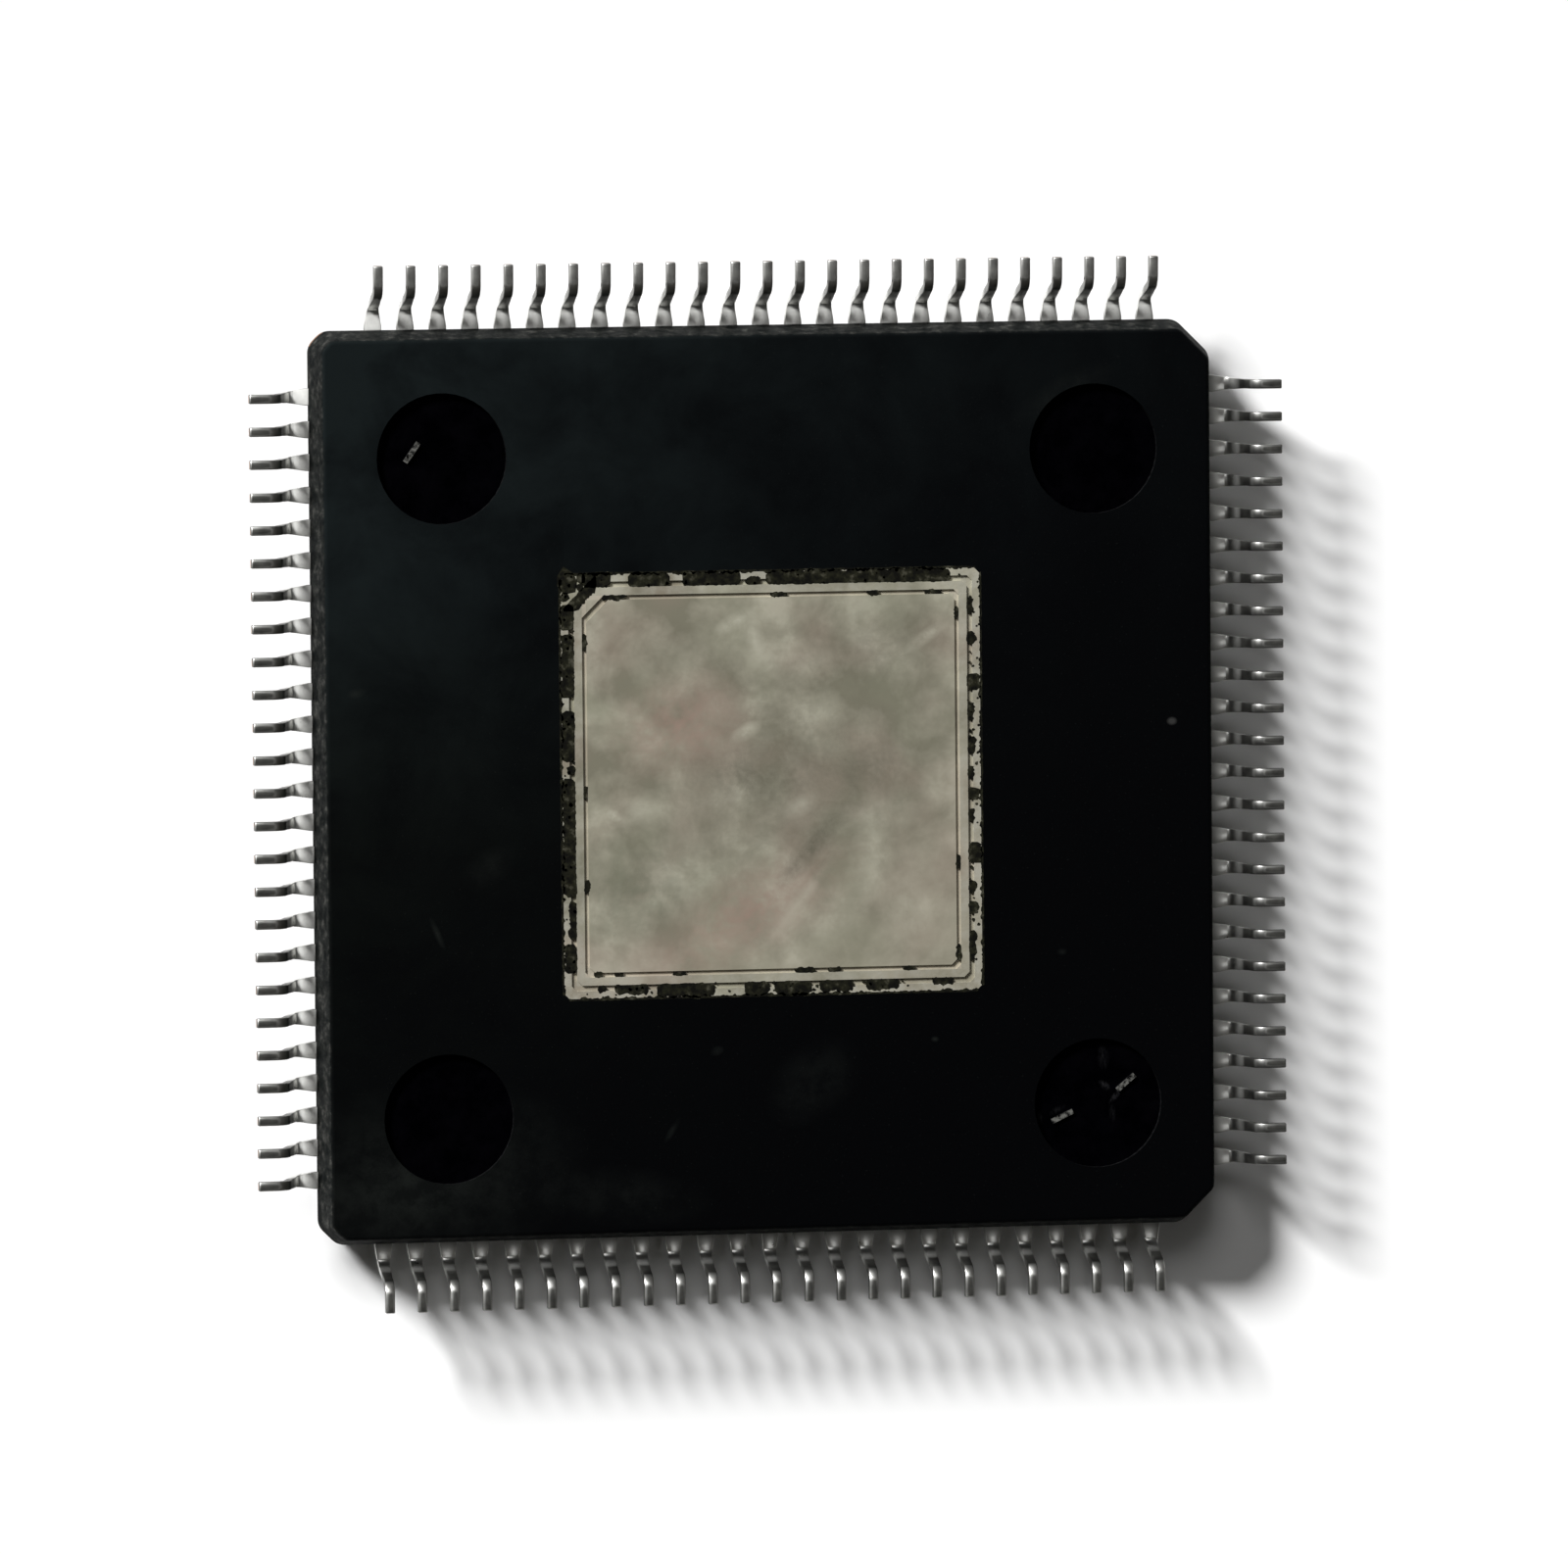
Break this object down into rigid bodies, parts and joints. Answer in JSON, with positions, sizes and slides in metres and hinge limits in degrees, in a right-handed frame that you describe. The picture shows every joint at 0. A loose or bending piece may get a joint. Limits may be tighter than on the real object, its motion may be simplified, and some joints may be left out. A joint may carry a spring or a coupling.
{
  "type": "quad flat pack chip",
  "caption": "Low-profile quad flat pack chip, seen from its solder side, with gull-wing leads on all four sides and a square exposed thermal pad.",
  "frame": {"origin": "centre of the flat marking face that the package lies on", "axes": "+Z out of the solder side with the exposed pad, +X and +Y along the rows of leads, indexed corner at -X +Y"},
  "size_m": [0.016, 0.016, 0.0015],
  "materials": {
    "mould_compound": "matte",
    "lead_finish": "satin",
    "paddle_copper": "satin",
    "silicon": "polished",
    "attach_film": "matte",
    "bond_gold": "polished"
  },
  "bodies": {
    "root": {"mould_body": "mould_compound", "die_paddle": "paddle_copper", "die_attach": "attach_film", "die": "silicon", "leads_right_1": "lead_finish", "leads_right_2": "lead_finish", "leads_right_3": "lead_finish", "leads_right_4": "lead_finish", "leads_right_5": "lead_finish", "leads_top_1": "lead_finish", "leads_top_2": "lead_finish", "leads_top_3": "lead_finish", "leads_top_4": "lead_finish", "leads_top_5": "lead_finish", "leads_left_1": "lead_finish", "leads_left_2": "lead_finish", "leads_left_3": "lead_finish", "leads_left_4": "lead_finish", "leads_left_5": "lead_finish", "leads_bottom_1": "lead_finish", "leads_bottom_2": "lead_finish", "leads_bottom_3": "lead_finish", "leads_bottom_4": "lead_finish", "leads_bottom_5": "lead_finish", "bond_wires_right": "bond_gold", "bond_wires_top": "bond_gold", "bond_wires_left": "bond_gold", "bond_wires_bottom": "bond_gold"}
  },
  "joints": []
}
